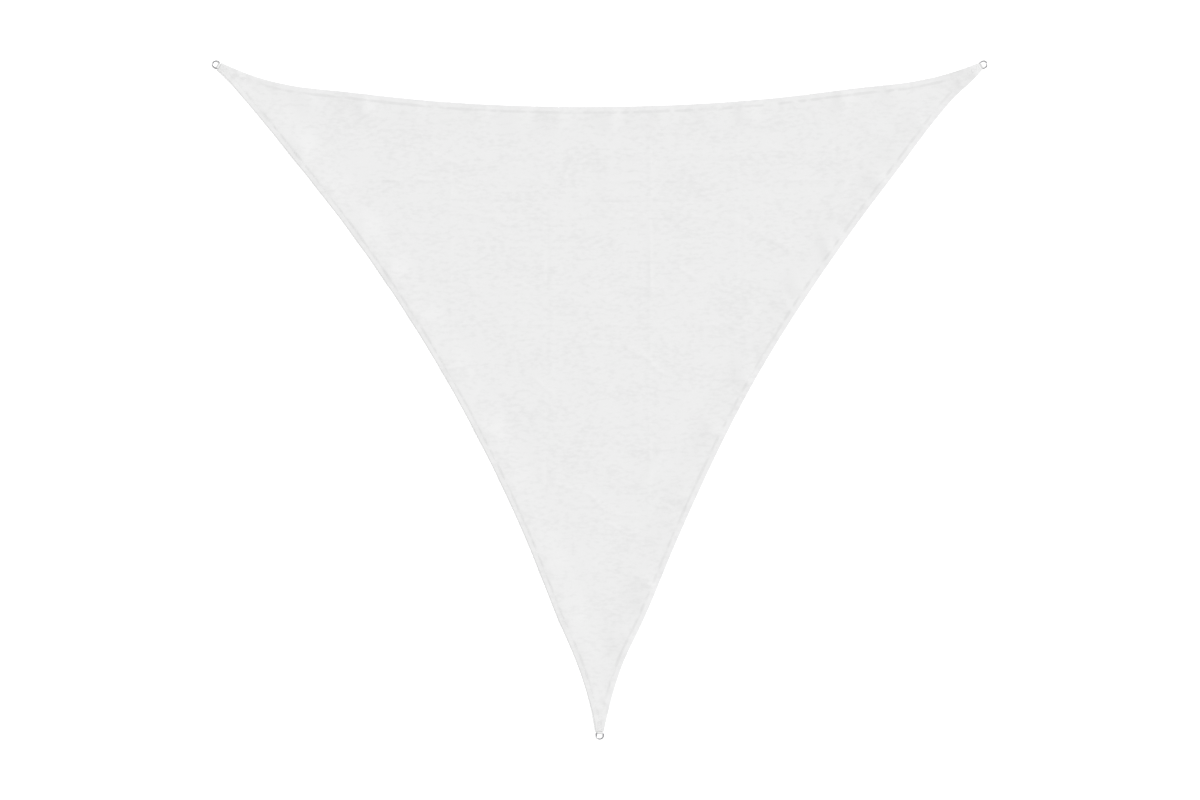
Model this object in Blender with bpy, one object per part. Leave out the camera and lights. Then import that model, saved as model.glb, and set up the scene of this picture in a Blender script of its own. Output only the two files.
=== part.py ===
"""A triangular shade sail lying flat on the ground, seen from above.

One sheet of knitted cloth with a sewn hem on its three hollow edges, a loop of
webbing at each corner, and a steel D-ring in each loop. Metres, +Z up. X runs
along the top edge and Y up the sail; the origin is on the ground under the
middle of the sail.
"""

import math

import bmesh
import bpy
import numpy as np
from mathutils import Matrix, Vector
from mathutils.geometry import delaunay_2d_cdt

MM = 0.001

# ---- driving dimensions ------------------------------------------------------
OVERALL_WIDTH = 3600 * MM  # over the two upper rings
OVERALL_DROP = 3152 * MM  # from the top of the upper rings to the foot of the lower one

RING_WIRE = 6.0 * MM  # diameter of the ring's steel wire
RING_BEND = 16.0 * MM  # radius of the round end, to the middle of the wire
RING_DEPTH = 28.0 * MM  # from the middle of the bar to the middle of the round end
RING_CORNER = 3.5 * MM  # radius of the two corners beside the bar
RING_REST = 3.07 * MM  # height of the wire's middle at the round end, on the ground

WEB_WIDTH = 25.0 * MM
WEB_THICK = 1.5 * MM
WEB_TAIL = 74.0 * MM  # from the round end's centre back to the ends of the loop
GAP = 0.3 * MM  # between pieces that touch

CLOTH_THICK = 1.5 * MM
HEM_THICK = 3.0 * MM
HEM_WIDTH = 30.0 * MM
HEM_STEP = 3.0 * MM  # width of the slope from the hem down to the single cloth
TIP_WIDTH = 37.0 * MM  # the cut end of the cloth at a corner
TIP_BACK = 19.0 * MM  # from the round end's centre back to that cut end

# How far each hollow edge lies inside the straight line between the centres of
# its two rings, in mm, at stations along that line. The first ring of the top
# edge is the left one, and the first ring of the others is the upper one.
EDGE_COLUMNS = ("station", "top", "left", "right")
EDGE_TABLE = (
    (60, 8, 5, 0),
    (200, 61, 33, 42),
    (340, 95, 59, 68),
    (600, 126, 101, 101),
    (1000, 168, 157, 150),
    (1800, 196, 202, 194),
    (2600, 156, 158, 141),
    (3000, 108, 103, 92),
    (3260, 77, 71, 69),
    (3400, 46, 41, 39),
    (3520, 7, 7, 4),
)
TABLE_SPAN = 3580 * MM  # the stations above are for a line of this length

# Each hem stands a little off the ground, and highest at its ripples: their
# stations in mm along the same line, and their shares of the full height.
RIPPLE_COLUMNS = ("station", "share")
RIPPLES = {
    "top": (
        (440, 0.4), (680, 1.0), (910, 0.4), (1200, 0.35), (1405, 0.45), (1590, 0.75),
        (1850, 0.7), (2035, 0.5), (2305, 0.35), (2470, 0.75), (2920, 0.85), (3180, 0.5),
    ),
    "left": (
        (320, 0.7), (520, 1.0), (740, 0.5), (1010, 0.95), (1230, 0.8), (1500, 0.85), (1770, 0.6),
        (2090, 0.95), (2340, 0.4), (2640, 0.3), (2780, 0.6), (3040, 0.8), (3240, 0.35),
    ),
    "right": (
        (390, 0.6), (550, 0.5), (690, 1.0), (1080, 0.75), (1300, 0.8), (1410, 0.5), (1780, 0.7),
        (2120, 0.8), (2410, 0.35), (2590, 0.25), (2900, 0.95), (3150, 0.6),
    ),
}
RIPPLE_HEIGHT = 5.0 * MM
RIPPLE_LENGTH = 55 * MM  # along the edge, from its middle to where it has sunk by two thirds
HEM_RISE = 1.5 * MM  # the hem between two ripples
HEM_SHARE = 0.45  # of a ripple's height, at the edge, where the hem is stiffer
RIPPLE_TOP = 75 * MM  # inside the edge, where a ripple stands highest
RIPPLE_END = 165 * MM  # inside the edge, where the cloth lies on the ground
END_FREE = 150 * MM  # the hem lies down this close to a ring
END_FADE = 300 * MM  # and rises to full height over this length

# Soft wrinkles across the middle of the sail: both ends, half the width, height, in mm.
WRINKLE_COLUMNS = ("x1", "y1", "x2", "y2", "half_width", "height")
WRINKLES = (
    (-150, 255, 250, 140, 45, 1.6),
    (-255, -395, 190, -490, 45, 1.4),
    (-30, -575, 190, -630, 40, 1.2),
    (-560, 850, -330, 790, 45, 1.2),
    (560, 860, 900, 690, 45, 1.2),
    (600, 270, 705, 455, 75, 2.0),
    (1070, 905, 1165, 1075, 65, 1.8),
    (205, -385, 295, -215, 70, 1.6),
)

# The cloth rises over the webbing under each corner.
LIFT = 2 * (WEB_THICK + GAP)
LIFT_FLAT = 62 * MM  # length from the cut end over which it stays on the webbing
LIFT_END = 150 * MM  # length from the cut end at which it is back on the ground
TIP_RISE = 4.4 * MM  # more, at the cut end, where the webbing comes down from its ring
TIP_RISE_END = 100 * MM

# ---- mesh steps --------------------------------------------------------------
EDGE_STEP = 40 * MM  # along an edge, in its middle
TIP_STEP = 14 * MM  # along an edge, at a corner
STEP_GROWTH = 0.11  # how fast the one grows to the other
ROW_DEPTHS = (HEM_WIDTH, HEM_WIDTH + HEM_STEP, 55 * MM, 80 * MM, 120 * MM, RIPPLE_END)
FIELD_STEP = 105 * MM  # between the points in the middle of the cloth
WRINKLE_STEP = 50 * MM
SPINE_STEP = 18 * MM  # along the middle of a corner
ROW_CLEAR = 4 * MM  # how much nearer a row's point is to its own edge than to another
ARC_STEPS = 21  # round end of a ring; odd, so that one facet is square to the pull
WIRE_SIDES = 12
CORNER_STEPS = 3
LOOP_STEPS = 14

# ---- worked out from these ---------------------------------------------------
WIRE_RADIUS = RING_WIRE / 2
RING_OUTER = RING_BEND + WIRE_RADIUS
HALF_TOP = OVERALL_WIDTH / 2 - RING_OUTER
HALF_DROP = OVERALL_DROP / 2 - RING_OUTER
RINGS = {
    "top_left": Vector((-HALF_TOP, HALF_DROP)),
    "top_right": Vector((HALF_TOP, HALF_DROP)),
    "bottom": Vector((0.0, -HALF_DROP)),
}
SIDES = {
    "top": ("top_left", "top_right"),
    "left": ("top_left", "bottom"),
    "right": ("top_right", "bottom"),
}
NEXT_RINGS = {
    "top_left": ("top_right", "bottom"),
    "top_right": ("top_left", "bottom"),
    "bottom": ("top_left", "top_right"),
}
LOOP_RADIUS = WIRE_RADIUS + GAP + 0.1 * MM + WEB_THICK / 2  # middle of the webbing round the bar
BAR_BACK = RING_DEPTH - RING_BEND  # from the round end's centre back to the bar
BAR_HEIGHT = WEB_THICK / 2 + LOOP_RADIUS
RING_TILT = math.asin((BAR_HEIGHT - RING_REST) / RING_DEPTH)


def smooth(x):
    """0 below 0, 1 above 1, and a soft step between."""
    x = np.clip(x, 0.0, 1.0)
    return x * x * (3 - 2 * x)


# ---- the three edges ---------------------------------------------------------
def inward(ring):
    """The unit vector from a ring's centre into the sail, midway between its two edges."""
    here = RINGS[ring]
    ways = [(RINGS[other] - here).normalized() for other in NEXT_RINGS[ring]]
    return (ways[0] + ways[1]).normalized()


class Edge:
    """One hollow edge, as an offset from the straight line between two rings."""

    def __init__(self, side):
        first, last = SIDES[side]
        self.start = np.array(RINGS[first])
        line = np.array(RINGS[last]) - self.start
        self.length = float(np.linalg.norm(line))
        self.along = line / self.length
        normal = np.array((-self.along[1], self.along[0]))
        self.inside = normal if normal @ -self.start > 0 else -normal
        column = EDGE_COLUMNS.index(side)
        scale = self.length / TABLE_SPAN
        self.ripples, self.shares = np.array(RIPPLES[side]).T
        self.ripples = self.ripples * MM * scale
        middle = [(row[0] * MM * scale, row[column] * MM) for row in EDGE_TABLE]
        knots = np.array([self.tip(first)] + middle + [self.tip(last)])
        self.at, self.off = knots[:, 0], knots[:, 1]
        run = np.diff(self.at)
        rise = np.diff(self.off) / run
        inner = (rise[:-1] * run[1:] + rise[1:] * run[:-1]) / (run[:-1] + run[1:])
        self.slopes = np.concatenate(([rise[0]], inner, [rise[-1]]))

    def tip(self, ring):
        """The corner of the cut end that this edge reaches, as (station, offset)."""
        way = inward(ring)
        across = Vector((-way.y, way.x))
        ends = [
            np.array(RINGS[ring] + way * TIP_BACK + across * TIP_WIDTH / 2 * sign)
            for sign in (-1, 1)
        ]
        places = [((end - self.start) @ self.along, (end - self.start) @ self.inside) for end in ends]
        return min(places, key=lambda place: place[1])

    def offset(self, station):
        """Offset and slope of the edge at these stations: a smooth curve through the table."""
        station = np.clip(station, self.at[0], self.at[-1])
        k = np.clip(np.searchsorted(self.at, station) - 1, 0, len(self.at) - 2)
        run = self.at[k + 1] - self.at[k]
        u = (station - self.at[k]) / run
        low, high = self.off[k], self.off[k + 1]
        leave, reach = self.slopes[k] * run, self.slopes[k + 1] * run
        bend, turn = 2 * (low - high) + leave + reach, 3 * (high - low) - 2 * leave - reach
        value = ((bend * u + turn) * u + leave) * u + low
        slope = ((3 * bend * u + 2 * turn) * u + leave) / run
        return value, slope

    def place(self, station, depth):
        """The points this far inside the edge, square to it."""
        value, slope = self.offset(station)
        square = 1 / np.sqrt(1 + slope**2)
        station = station - depth * slope * square
        value = value + depth * square
        return self.start + np.outer(station, self.along) + np.outer(value, self.inside)

    def measure(self, points):
        """Station of each point, and how far inside this edge it lies."""
        station = (points - self.start) @ self.along
        value, slope = self.offset(station)
        depth = ((points - self.start) @ self.inside - value) / np.sqrt(1 + slope**2)
        return station, depth

    def stations(self):
        """Stations from tip to tip, close together at both ends and even in the middle."""
        half = (self.at[-1] - self.at[0]) / 2
        reached = [0.0]
        while reached[-1] < half:
            reached.append(reached[-1] + min(EDGE_STEP, TIP_STEP + STEP_GROWTH * reached[-1]))
        near = np.array(reached) * half / reached[-1]
        return self.at[0] + np.concatenate((near, 2 * half - near[-2::-1]))


EDGES = {side: Edge(side) for side in SIDES}


def nearest_depth(points):
    """How far each point lies inside the nearest edge."""
    return np.min([edge.measure(points)[1] for edge in EDGES.values()], axis=0)


# ---- how the cloth lies ------------------------------------------------------
def hem_height(points):
    """How far the hems and the cloth beside them stand off the ground."""
    height = np.zeros(len(points))
    for edge in EDGES.values():
        station, depth = edge.measure(points)
        down = 1 - smooth((depth - HEM_WIDTH) / (RIPPLE_END - HEM_WIDTH))
        to_ring = np.minimum(station, edge.length - station)
        fade = smooth((to_ring - END_FREE) / END_FADE)
        bumps = edge.shares * np.exp(-(((station[:, None] - edge.ripples) / RIPPLE_LENGTH) ** 2))
        rising = HEM_SHARE + (1 - HEM_SHARE) * smooth(depth / RIPPLE_TOP)
        falling = 1 - smooth((depth - RIPPLE_TOP) / (RIPPLE_END - RIPPLE_TOP))
        height += fade * (HEM_RISE * down + RIPPLE_HEIGHT * rising * falling * bumps.max(axis=1))
    return height


def wrinkle_height(points):
    """The soft wrinkles across the middle of the cloth."""
    height = np.zeros(len(points))
    for row in WRINKLES:
        x1, y1, x2, y2, half_width, high = (value * MM for value in row)
        start, line = np.array((x1, y1)), np.array((x2 - x1, y2 - y1))
        length = np.linalg.norm(line)
        t = (points - start) @ line / length
        side = (points - start) @ np.array((-line[1], line[0])) / length
        ends = smooth(t / (length / 3)) * smooth((length - t) / (length / 3))
        height += high * ends * (1 - smooth(np.abs(side) / half_width))
    return height


def corner_lift(points):
    """How far the cloth is raised by the webbing under the corners."""
    height = np.zeros(len(points))
    for ring, centre in RINGS.items():
        from_tip = (points - np.array(centre)) @ np.array(inward(ring)) - TIP_BACK
        near = 1 - smooth((from_tip - LIFT_FLAT) / (LIFT_END - LIFT_FLAT))
        rise = TIP_RISE * (1 - smooth(from_tip / TIP_RISE_END))
        height = np.maximum(height, LIFT * near + rise)
    return height


def cloth_faces(points):
    """Heights of the underside and of the top at these points."""
    under = hem_height(points) + wrinkle_height(points) + corner_lift(points)
    hem = 1 - np.clip((nearest_depth(points) - HEM_WIDTH) / HEM_STEP, 0.0, 1.0)
    return under, under + CLOTH_THICK + (HEM_THICK - CLOTH_THICK) * hem


# ---- the cloth's mesh --------------------------------------------------------
def edge_rows(points, lines):
    """Adds the rows that follow each edge inside the outline."""
    for edge in EDGES.values():
        others = [other for other in EDGES.values() if other is not edge]
        for depth in ROW_DEPTHS:
            row = edge.place(edge.stations(), depth)
            clear = np.min([other.measure(row)[1] for other in others], axis=0) - depth
            kept = row[clear > ROW_CLEAR]
            first = len(points)
            points.extend(kept)
            lines.extend((first + i, first + i + 1) for i in range(len(kept) - 1))


def corner_spines():
    """Points along the middle of each corner, from the cut end to where the two hems part."""
    found = []
    for ring, centre in RINGS.items():
        way = np.array(inward(ring))
        back = np.arange(0, LIFT_END, MM)
        line = np.array(centre) + np.outer(TIP_BACK + back, way)
        depth = nearest_depth(line)
        part_at = back[np.searchsorted(depth, HEM_WIDTH)]
        field_at = back[np.searchsorted(depth, HEM_WIDTH + HEM_STEP)]
        steps = round(part_at / SPINE_STEP)
        places = [part_at * i / steps for i in range(1, steps + 1)] + [field_at]
        found.extend(np.array(centre) + way * (TIP_BACK + place) for place in places)
    return found


def wrinkle_rows():
    """The points along the top and the two feet of each wrinkle."""
    found = []
    for row in WRINKLES:
        x1, y1, x2, y2, half_width, _ = (value * MM for value in row)
        line = np.array((x2 - x1, y2 - y1))
        length = np.linalg.norm(line)
        square = np.array((-line[1], line[0])) / length
        steps = max(2, round(length / WRINKLE_STEP))
        for i in range(steps + 1):
            middle = np.array((x1, y1)) + line * i / steps
            found.extend(middle + square * half_width * share for share in (-1, 0, 1))
    return found


def field_points(taken):
    """An even triangular grid of points over the rest of the cloth."""
    row_step = FIELD_STEP * math.sqrt(3) / 2
    grid = []
    for j in range(-16, 17):
        for i in range(-18, 19):
            grid.append(((i + 0.5 * (j % 2)) * FIELD_STEP, j * row_step))
    grid = np.array(grid)
    grid = grid[nearest_depth(grid) > ROW_DEPTHS[-1] + FIELD_STEP / 2]
    taken = np.array(taken)
    space = np.sqrt(((grid[:, None] - taken[None]) ** 2).sum(axis=2)).min(axis=1)
    return list(grid[space > 0.6 * WRINKLE_STEP])


def cloth_plan():
    """The sheet seen from above: its points, and its triangles as triples of them."""
    around = [EDGES["left"].place(EDGES["left"].stations(), 0.0)]
    around.append(EDGES["right"].place(EDGES["right"].stations(), 0.0)[::-1])
    around.append(EDGES["top"].place(EDGES["top"].stations(), 0.0)[::-1])
    points = list(np.concatenate(around))
    count = len(points)
    lines = [(i, (i + 1) % count) for i in range(count)]
    edge_rows(points, lines)
    points.extend(corner_spines())
    ridges = wrinkle_rows()
    points.extend(ridges)
    points.extend(field_points(ridges))
    vectors = [Vector((float(x), float(y))) for x, y in points]
    plan = delaunay_2d_cdt(vectors, lines, [], 0, 1e-6, False)
    placed = np.array([tuple(v) for v in plan[0]])
    triangles = np.array([tuple(face) for face in plan[2]])
    on_cloth = nearest_depth(placed[triangles].mean(axis=1)) > 0  # not between an edge and its chord
    return placed, triangles[on_cloth]


def material(name, colour, roughness, metallic):
    made = bpy.data.materials.new(name)
    made.use_nodes = True
    shader = made.node_tree.nodes["Principled BSDF"]
    shader.inputs["Base Color"].default_value = (*colour, 1.0)
    shader.inputs["Roughness"].default_value = roughness
    shader.inputs["Metallic"].default_value = metallic
    return made


def add_object(name, bm, finish, sharp_angle=None):
    """Makes an object of a closed mesh, with its faces pointing out."""
    bmesh.ops.recalc_face_normals(bm, faces=bm.faces)
    mesh = bpy.data.meshes.new(name)
    bm.to_mesh(mesh)
    bm.free()
    mesh.materials.append(finish)
    if sharp_angle is not None:
        mesh.shade_smooth()
        mesh.set_sharp_from_angle(angle=math.radians(sharp_angle))
    made = bpy.data.objects.new(name, mesh)
    bpy.context.scene.collection.objects.link(made)
    return made


def make_cloth(finish):
    """The one sheet with its hems: the same triangles above and below, and a wall round the rim."""
    points, triangles = cloth_plan()
    under, top = cloth_faces(points)
    bm = bmesh.new()
    lower = [bm.verts.new((x, y, z)) for (x, y), z in zip(points, under)]
    upper = [bm.verts.new((x, y, z)) for (x, y), z in zip(points, top)]
    rim = {}
    for a, b, c in triangles:
        bm.faces.new((lower[c], lower[b], lower[a]))
        bm.faces.new((upper[a], upper[b], upper[c]))
        for edge in ((a, b), (b, c), (c, a)):
            rim[edge] = True
    for a, b in rim:
        if (b, a) not in rim:
            bm.faces.new((lower[a], lower[b], upper[b], upper[a]))
    return add_object("sail_cloth", bm, finish, sharp_angle=40)


# ---- rings and loops ---------------------------------------------------------
def sweep(path, side_axis, profile, closed):
    """A tube of this profile along a path that lies square to side_axis.

    A profile point is (out, side): out to the right of the path as seen from
    the tip of side_axis, and side along that axis.
    """
    bm = bmesh.new()
    count = len(path)
    sections = []
    for i, point in enumerate(path):
        before = path[i - 1] if closed or i else point
        after = path[(i + 1) % count] if closed or i < count - 1 else point
        out = (after - before).normalized().cross(side_axis)
        sections.append([bm.verts.new(point + out * a + side_axis * b) for a, b in profile])
    spans = count if closed else count - 1
    for i in range(spans):
        here, there = sections[i], sections[(i + 1) % count]
        for j in range(len(profile)):
            k = (j + 1) % len(profile)
            bm.faces.new((here[j], here[k], there[k], there[j]))
    if not closed:
        bm.faces.new(sections[0])
        bm.faces.new(sections[-1])
    return bm


def arc(centre, radius, start, end, steps):
    """Points of an arc in the XY plane, with its angles in degrees."""
    angles = [math.radians(start + (end - start) * i / steps) for i in range(steps + 1)]
    return [Vector((centre[0] + radius * math.cos(a), centre[1] + radius * math.sin(a), 0)) for a in angles]


def corner_frame(ring):
    """Local X points out of the sail through the ring, and the origin is under its round end."""
    out = -inward(ring)
    turn = Matrix.Rotation(math.atan2(out.y, out.x), 4, "Z")
    return Matrix.Translation(RINGS[ring].to_3d()) @ turn


def make_ring(ring, finish):
    """A D-ring whose bar sits in the webbing and whose round end rests on the ground."""
    path = arc((0, 0), RING_BEND, -90, 90, ARC_STEPS)
    side = RING_BEND - RING_CORNER
    back = RING_CORNER - BAR_BACK
    path += arc((back, side), RING_CORNER, 90, 180, CORNER_STEPS)
    path += arc((back, -side), RING_CORNER, 180, 270, CORNER_STEPS)
    flat = WIRE_RADIUS / math.cos(math.pi / WIRE_SIDES)
    turns = [2 * math.pi * (i + 0.5) / WIRE_SIDES for i in range(WIRE_SIDES)]
    profile = [(flat * math.cos(a), flat * math.sin(a)) for a in turns]
    bm = sweep(path, Vector((0, 0, 1)), profile, closed=True)
    bend_to_ground = Matrix.Translation((RING_BEND, 0, RING_REST))
    tilt = Matrix.Rotation(RING_TILT, 4, "Y")
    bm.transform(bend_to_ground @ tilt @ Matrix.Translation((-RING_BEND, 0, 0)))
    bm.transform(corner_frame(ring))
    return add_object("d_ring_" + ring, bm, finish, sharp_angle=60)


def make_loop(ring, finish):
    """A strip of webbing that lies under the cloth, turns round the bar and comes back."""
    leave = 110.0  # degrees round the bar at which the strip leaves it again
    low = WEB_THICK / 2
    high = low + WEB_THICK + GAP
    bar = Vector((-BAR_BACK, BAR_HEIGHT))
    turn = [
        Vector((bar.x + p.x, 0, bar.y + p.y))
        for p in arc((0, 0), LOOP_RADIUS, -90, leave, LOOP_STEPS)
    ]
    fall = math.radians(leave - 90)
    join = turn[-1].x - (turn[-1].z - high) / math.tan(fall)
    path = [Vector((-WEB_TAIL, 0, low)), Vector((join, 0, low))] + turn
    path += [Vector((join, 0, high)), Vector((-WEB_TAIL, 0, high))]
    half, edge = WEB_THICK / 2, WEB_WIDTH / 2
    profile = [(-half, -edge), (half, -edge), (half, edge), (-half, edge)]
    bm = sweep(path, Vector((0, 1, 0)), profile, closed=False)
    bm.transform(corner_frame(ring))
    return add_object("corner_loop_" + ring, bm, finish, sharp_angle=40)


def main():
    for old in list(bpy.data.objects):
        bpy.data.objects.remove(old)
    cloth = material("knitted_polyethylene", (0.84, 0.84, 0.84), 0.9, 0.0)
    webbing = material("polyester_webbing", (0.82, 0.82, 0.82), 0.85, 0.0)
    steel = material("polished_stainless_steel", (0.58, 0.58, 0.59), 0.25, 1.0)
    make_cloth(cloth)
    for ring in RINGS:
        make_loop(ring, webbing)
        make_ring(ring, steel)
    for made in bpy.context.scene.objects:
        print(made.name, len(made.data.polygons), "faces", [round(size, 4) for size in made.dimensions])


main()
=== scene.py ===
# %% [markdown]
# # A triangular shade sail, laid out flat
#
# A shade sail is one triangle of knitted plastic cloth. Its edges are cut hollow, so
# that they pull straight when the corners are tightened. Each edge is turned under
# and stitched, and each corner ends in a short loop of webbing round a steel D-ring.
#
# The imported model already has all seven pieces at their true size. This file keeps
# that frame and replaces each plain solid by a finer piece in the very same place:
# the cloth with its hems, ripples and packing creases, the ribbed webbing, smooth
# rings, and the sewing that holds them together.

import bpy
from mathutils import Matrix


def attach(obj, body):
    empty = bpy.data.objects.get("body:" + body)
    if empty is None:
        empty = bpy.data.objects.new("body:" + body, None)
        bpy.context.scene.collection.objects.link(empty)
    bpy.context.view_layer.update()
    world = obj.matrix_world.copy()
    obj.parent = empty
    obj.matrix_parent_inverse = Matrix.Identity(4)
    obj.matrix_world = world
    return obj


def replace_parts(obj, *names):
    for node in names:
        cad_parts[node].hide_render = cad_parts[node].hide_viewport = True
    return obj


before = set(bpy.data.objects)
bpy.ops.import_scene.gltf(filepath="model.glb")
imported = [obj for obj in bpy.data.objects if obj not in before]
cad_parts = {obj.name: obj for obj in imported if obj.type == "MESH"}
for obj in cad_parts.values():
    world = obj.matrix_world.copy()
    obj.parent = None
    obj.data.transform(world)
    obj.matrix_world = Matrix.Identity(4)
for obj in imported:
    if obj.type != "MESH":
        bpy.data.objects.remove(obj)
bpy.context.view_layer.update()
print("nodes:", ", ".join(sorted(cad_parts)))

# %% Modules, and the unit that all sizes below are given in
import math

import bmesh
import bpy
import numpy as np
from mathutils import Matrix, Vector, kdtree, noise
from mathutils.geometry import delaunay_2d_cdt

MM = 0.001

# %% [markdown]
# ## The camera
#
# A catalogue picture of a sail is taken square on. The sail lies on the floor here,
# so the camera hangs straight above its middle and looks down, with the top edge of
# the sail up in the picture. A long lens keeps the view almost parallel. Its height
# follows from how much floor the picture takes in.

# %% Camera straight above the sail
PICTURE_WIDTH = 1200  # pixels
FLOOR_PER_PIXEL = 4.641 * MM
SENSOR_WIDTH = 36.0  # mm, on the camera's own scale
LENS = 85.0

height = PICTURE_WIDTH * FLOOR_PER_PIXEL * LENS / SENSOR_WIDTH
bpy.ops.object.camera_add(location=(0, 0, height), rotation=(0, 0, 0))
camera = bpy.context.object
camera.data.lens = LENS
camera.data.sensor_width = SENSOR_WIDTH
bpy.context.scene.camera = camera
print("camera height:", round(height, 3), "m")

# %% [markdown]
# ## Colours and nodes
#
# Colours are picked as sRGB hex values, as in any paint program, but shaders count in
# linear light, so one function converts them. A second one adds a shader node with
# its settings, its values and what links into it, which keeps each material short.

# %% Two helpers for materials
def colour(hex_code):
    """An sRGB hex colour as the linear RGBA value that a shader takes."""
    parts = [int(hex_code[i : i + 2], 16) / 255 for i in (1, 3, 5)]
    return [c / 12.92 if c <= 0.04045 else ((c + 0.055) / 1.055) ** 2.4 for c in parts] + [1.0]


def add_node(tree, kind, values=None, links=None, **settings):
    """Adds a node: settings are its own, values and links go to its inputs by name or number."""
    node = tree.nodes.new("ShaderNode" + kind)
    for name, value in settings.items():
        setattr(node, name, value)
    for name, value in (values or {}).items():
        node.inputs[name].default_value = value
    for name, socket in (links or {}).items():
        tree.links.new(socket, node.inputs[name])
    return node


def new_material(name, hex_code, roughness, metallic=0.0):
    """A material with one Principled shader; returns it with its node tree and shader."""
    made = bpy.data.materials.new(name)
    made.use_nodes = True
    shader = made.node_tree.nodes["Principled BSDF"]
    shader.inputs["Base Color"].default_value = colour(hex_code)
    shader.inputs["Roughness"].default_value = roughness
    shader.inputs["Metallic"].default_value = metallic
    return made, made.node_tree, shader


print("white paper in linear light:", round(colour("#F2F2F2")[0], 3))

# %% [markdown]
# ## Floor and light
#
# The floor is a white studio sweep. It is lit a little from below as well, like the
# light tables used for cut-out pictures, so that the thin shadow beside the cloth
# burns out to white. The main light is large and soft. It stands to the right and
# slightly towards the top of the picture, so slopes that face right are bright and
# slopes that face left are dark. That is what draws the hems and ripples of a cloth
# that is only a few millimetres high.

# %% Floor
FLOOR_SIDE = 160.0  # metres, past the horizon of every view
FLOOR_GLOW = 0.35

bpy.ops.mesh.primitive_plane_add(size=FLOOR_SIDE, location=(0, 0, 0))
floor = bpy.context.object
floor.name = "studio_floor"
paper, paper_tree, paper_shader = new_material("matt_white_paper", "#F2F2F2", 0.9)
# Unprinted sweep paper: no gloss, and a faint tooth that keeps it from looking like plastic.
on_paper = {"Vector": add_node(paper_tree, "TexCoord").outputs["Object"]}
tooth = add_node(paper_tree, "TexNoise", {"Scale": 300.0}, on_paper)
paper_bump = add_node(
    paper_tree, "Bump", {"Strength": 0.02, "Distance": 0.2 * MM}, {"Height": tooth.outputs["Fac"]},
)
paper_tree.links.new(paper_bump.outputs["Normal"], paper_shader.inputs["Normal"])
paper_shader.inputs["Specular IOR Level"].default_value = 0.1
paper_shader.inputs["Emission Color"].default_value = (1, 1, 1, 1)
paper_shader.inputs["Emission Strength"].default_value = FLOOR_GLOW
floor.data.materials.append(paper)

# %% Main light and fill
LIGHT_AZIMUTH = 21.0  # degrees from +X towards +Y
LIGHT_ELEVATION = 48.0
LIGHT_SPREAD = 22.0  # how wide the lamp looks, in degrees
LIGHT_POWER = 2.43
FILL = 0.50

az, el = math.radians(LIGHT_AZIMUTH), math.radians(LIGHT_ELEVATION)
to_light = Vector((math.cos(el) * math.cos(az), math.cos(el) * math.sin(az), math.sin(el)))
turn = to_light.to_track_quat("Z", "Y").to_euler()
bpy.ops.object.light_add(type="SUN", location=to_light, rotation=turn)
key_light = bpy.context.object
key_light.data.angle = math.radians(LIGHT_SPREAD)
key_light.data.energy = LIGHT_POWER

world = bpy.data.worlds.new("studio_fill")
world.use_nodes = True
world.node_tree.nodes["Background"].inputs["Color"].default_value = (1, 1, 1, 1)
world.node_tree.nodes["Background"].inputs["Strength"].default_value = FILL
bpy.context.scene.world = world
bpy.context.scene.view_settings.view_transform = "Standard"
print("light on the floor:", round(FILL + LIGHT_POWER * math.sin(el) / math.pi, 3))

# %% [markdown]
# ## The plan of the sail
#
# A sail is drawn from its corners. It is 3.6 m wide over the upper rings, and each
# edge bows in from the straight line between the centres of two rings. The maker
# would bend a long batten through a few marks and draw along it, and this does the
# same: a smooth curve through a short table of offsets.

# %% Corners
OVERALL_WIDTH = 3600 * MM  # over the two upper rings
OVERALL_DROP = 3152 * MM
WIRE_RADIUS = 3.0 * MM
RING_BEND = 16.0 * MM  # radius of a ring's round end, to the middle of its wire
TIP_WIDTH = 37.0 * MM  # the cut end of the cloth at a corner
TIP_BACK = 19.0 * MM  # from the middle of the ring's round end back to that cut end

half_top = OVERALL_WIDTH / 2 - RING_BEND - WIRE_RADIUS
half_drop = OVERALL_DROP / 2 - RING_BEND - WIRE_RADIUS
RINGS = {
    "top_left": np.array((-half_top, half_drop)),
    "top_right": np.array((half_top, half_drop)),
    "bottom": np.array((0.0, -half_drop)),
}
SIDES = {
    "top": ("top_left", "top_right"),
    "left": ("top_left", "bottom"),
    "right": ("top_right", "bottom"),
}


def unit(vector):
    return vector / np.linalg.norm(vector)


def inward(ring):
    """The unit vector from a ring into the sail, midway between its two edges."""
    here = RINGS[ring]
    return unit(sum(unit(there - here) for other, there in RINGS.items() if other != ring))


def corner_point(ring, back, across):
    """A point of the plan, this far behind a cut end and this far to one side of its middle."""
    way = inward(ring)
    return RINGS[ring] + way * (TIP_BACK + back) + np.array((-way[1], way[0])) * across


def smooth(x):
    """0 below 0, 1 above 1, and a soft step between."""
    x = np.clip(x, 0.0, 1.0)
    return x * x * (3 - 2 * x)


def bell(distance, half_width):
    """1 on a line, dying away softly on both sides of it."""
    return np.exp(-((distance / half_width) ** 2))


for ring in RINGS:
    print(ring, "at", RINGS[ring].round(4), "and its sail lies towards", inward(ring).round(3))

# %% The tables of the three edges, in millimetres
EDGE_COLUMNS = ("station", "top", "left", "right")
EDGE_TABLE = (
    (60, 8, 5, 0),
    (200, 61, 33, 42),
    (340, 95, 59, 68),
    (600, 126, 101, 101),
    (1000, 168, 157, 150),
    (1800, 196, 202, 194),
    (2600, 156, 158, 141),
    (3000, 108, 103, 92),
    (3260, 77, 71, 69),
    (3400, 46, 41, 39),
    (3520, 7, 7, 4),
)
TABLE_SPAN = 3580 * MM

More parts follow.
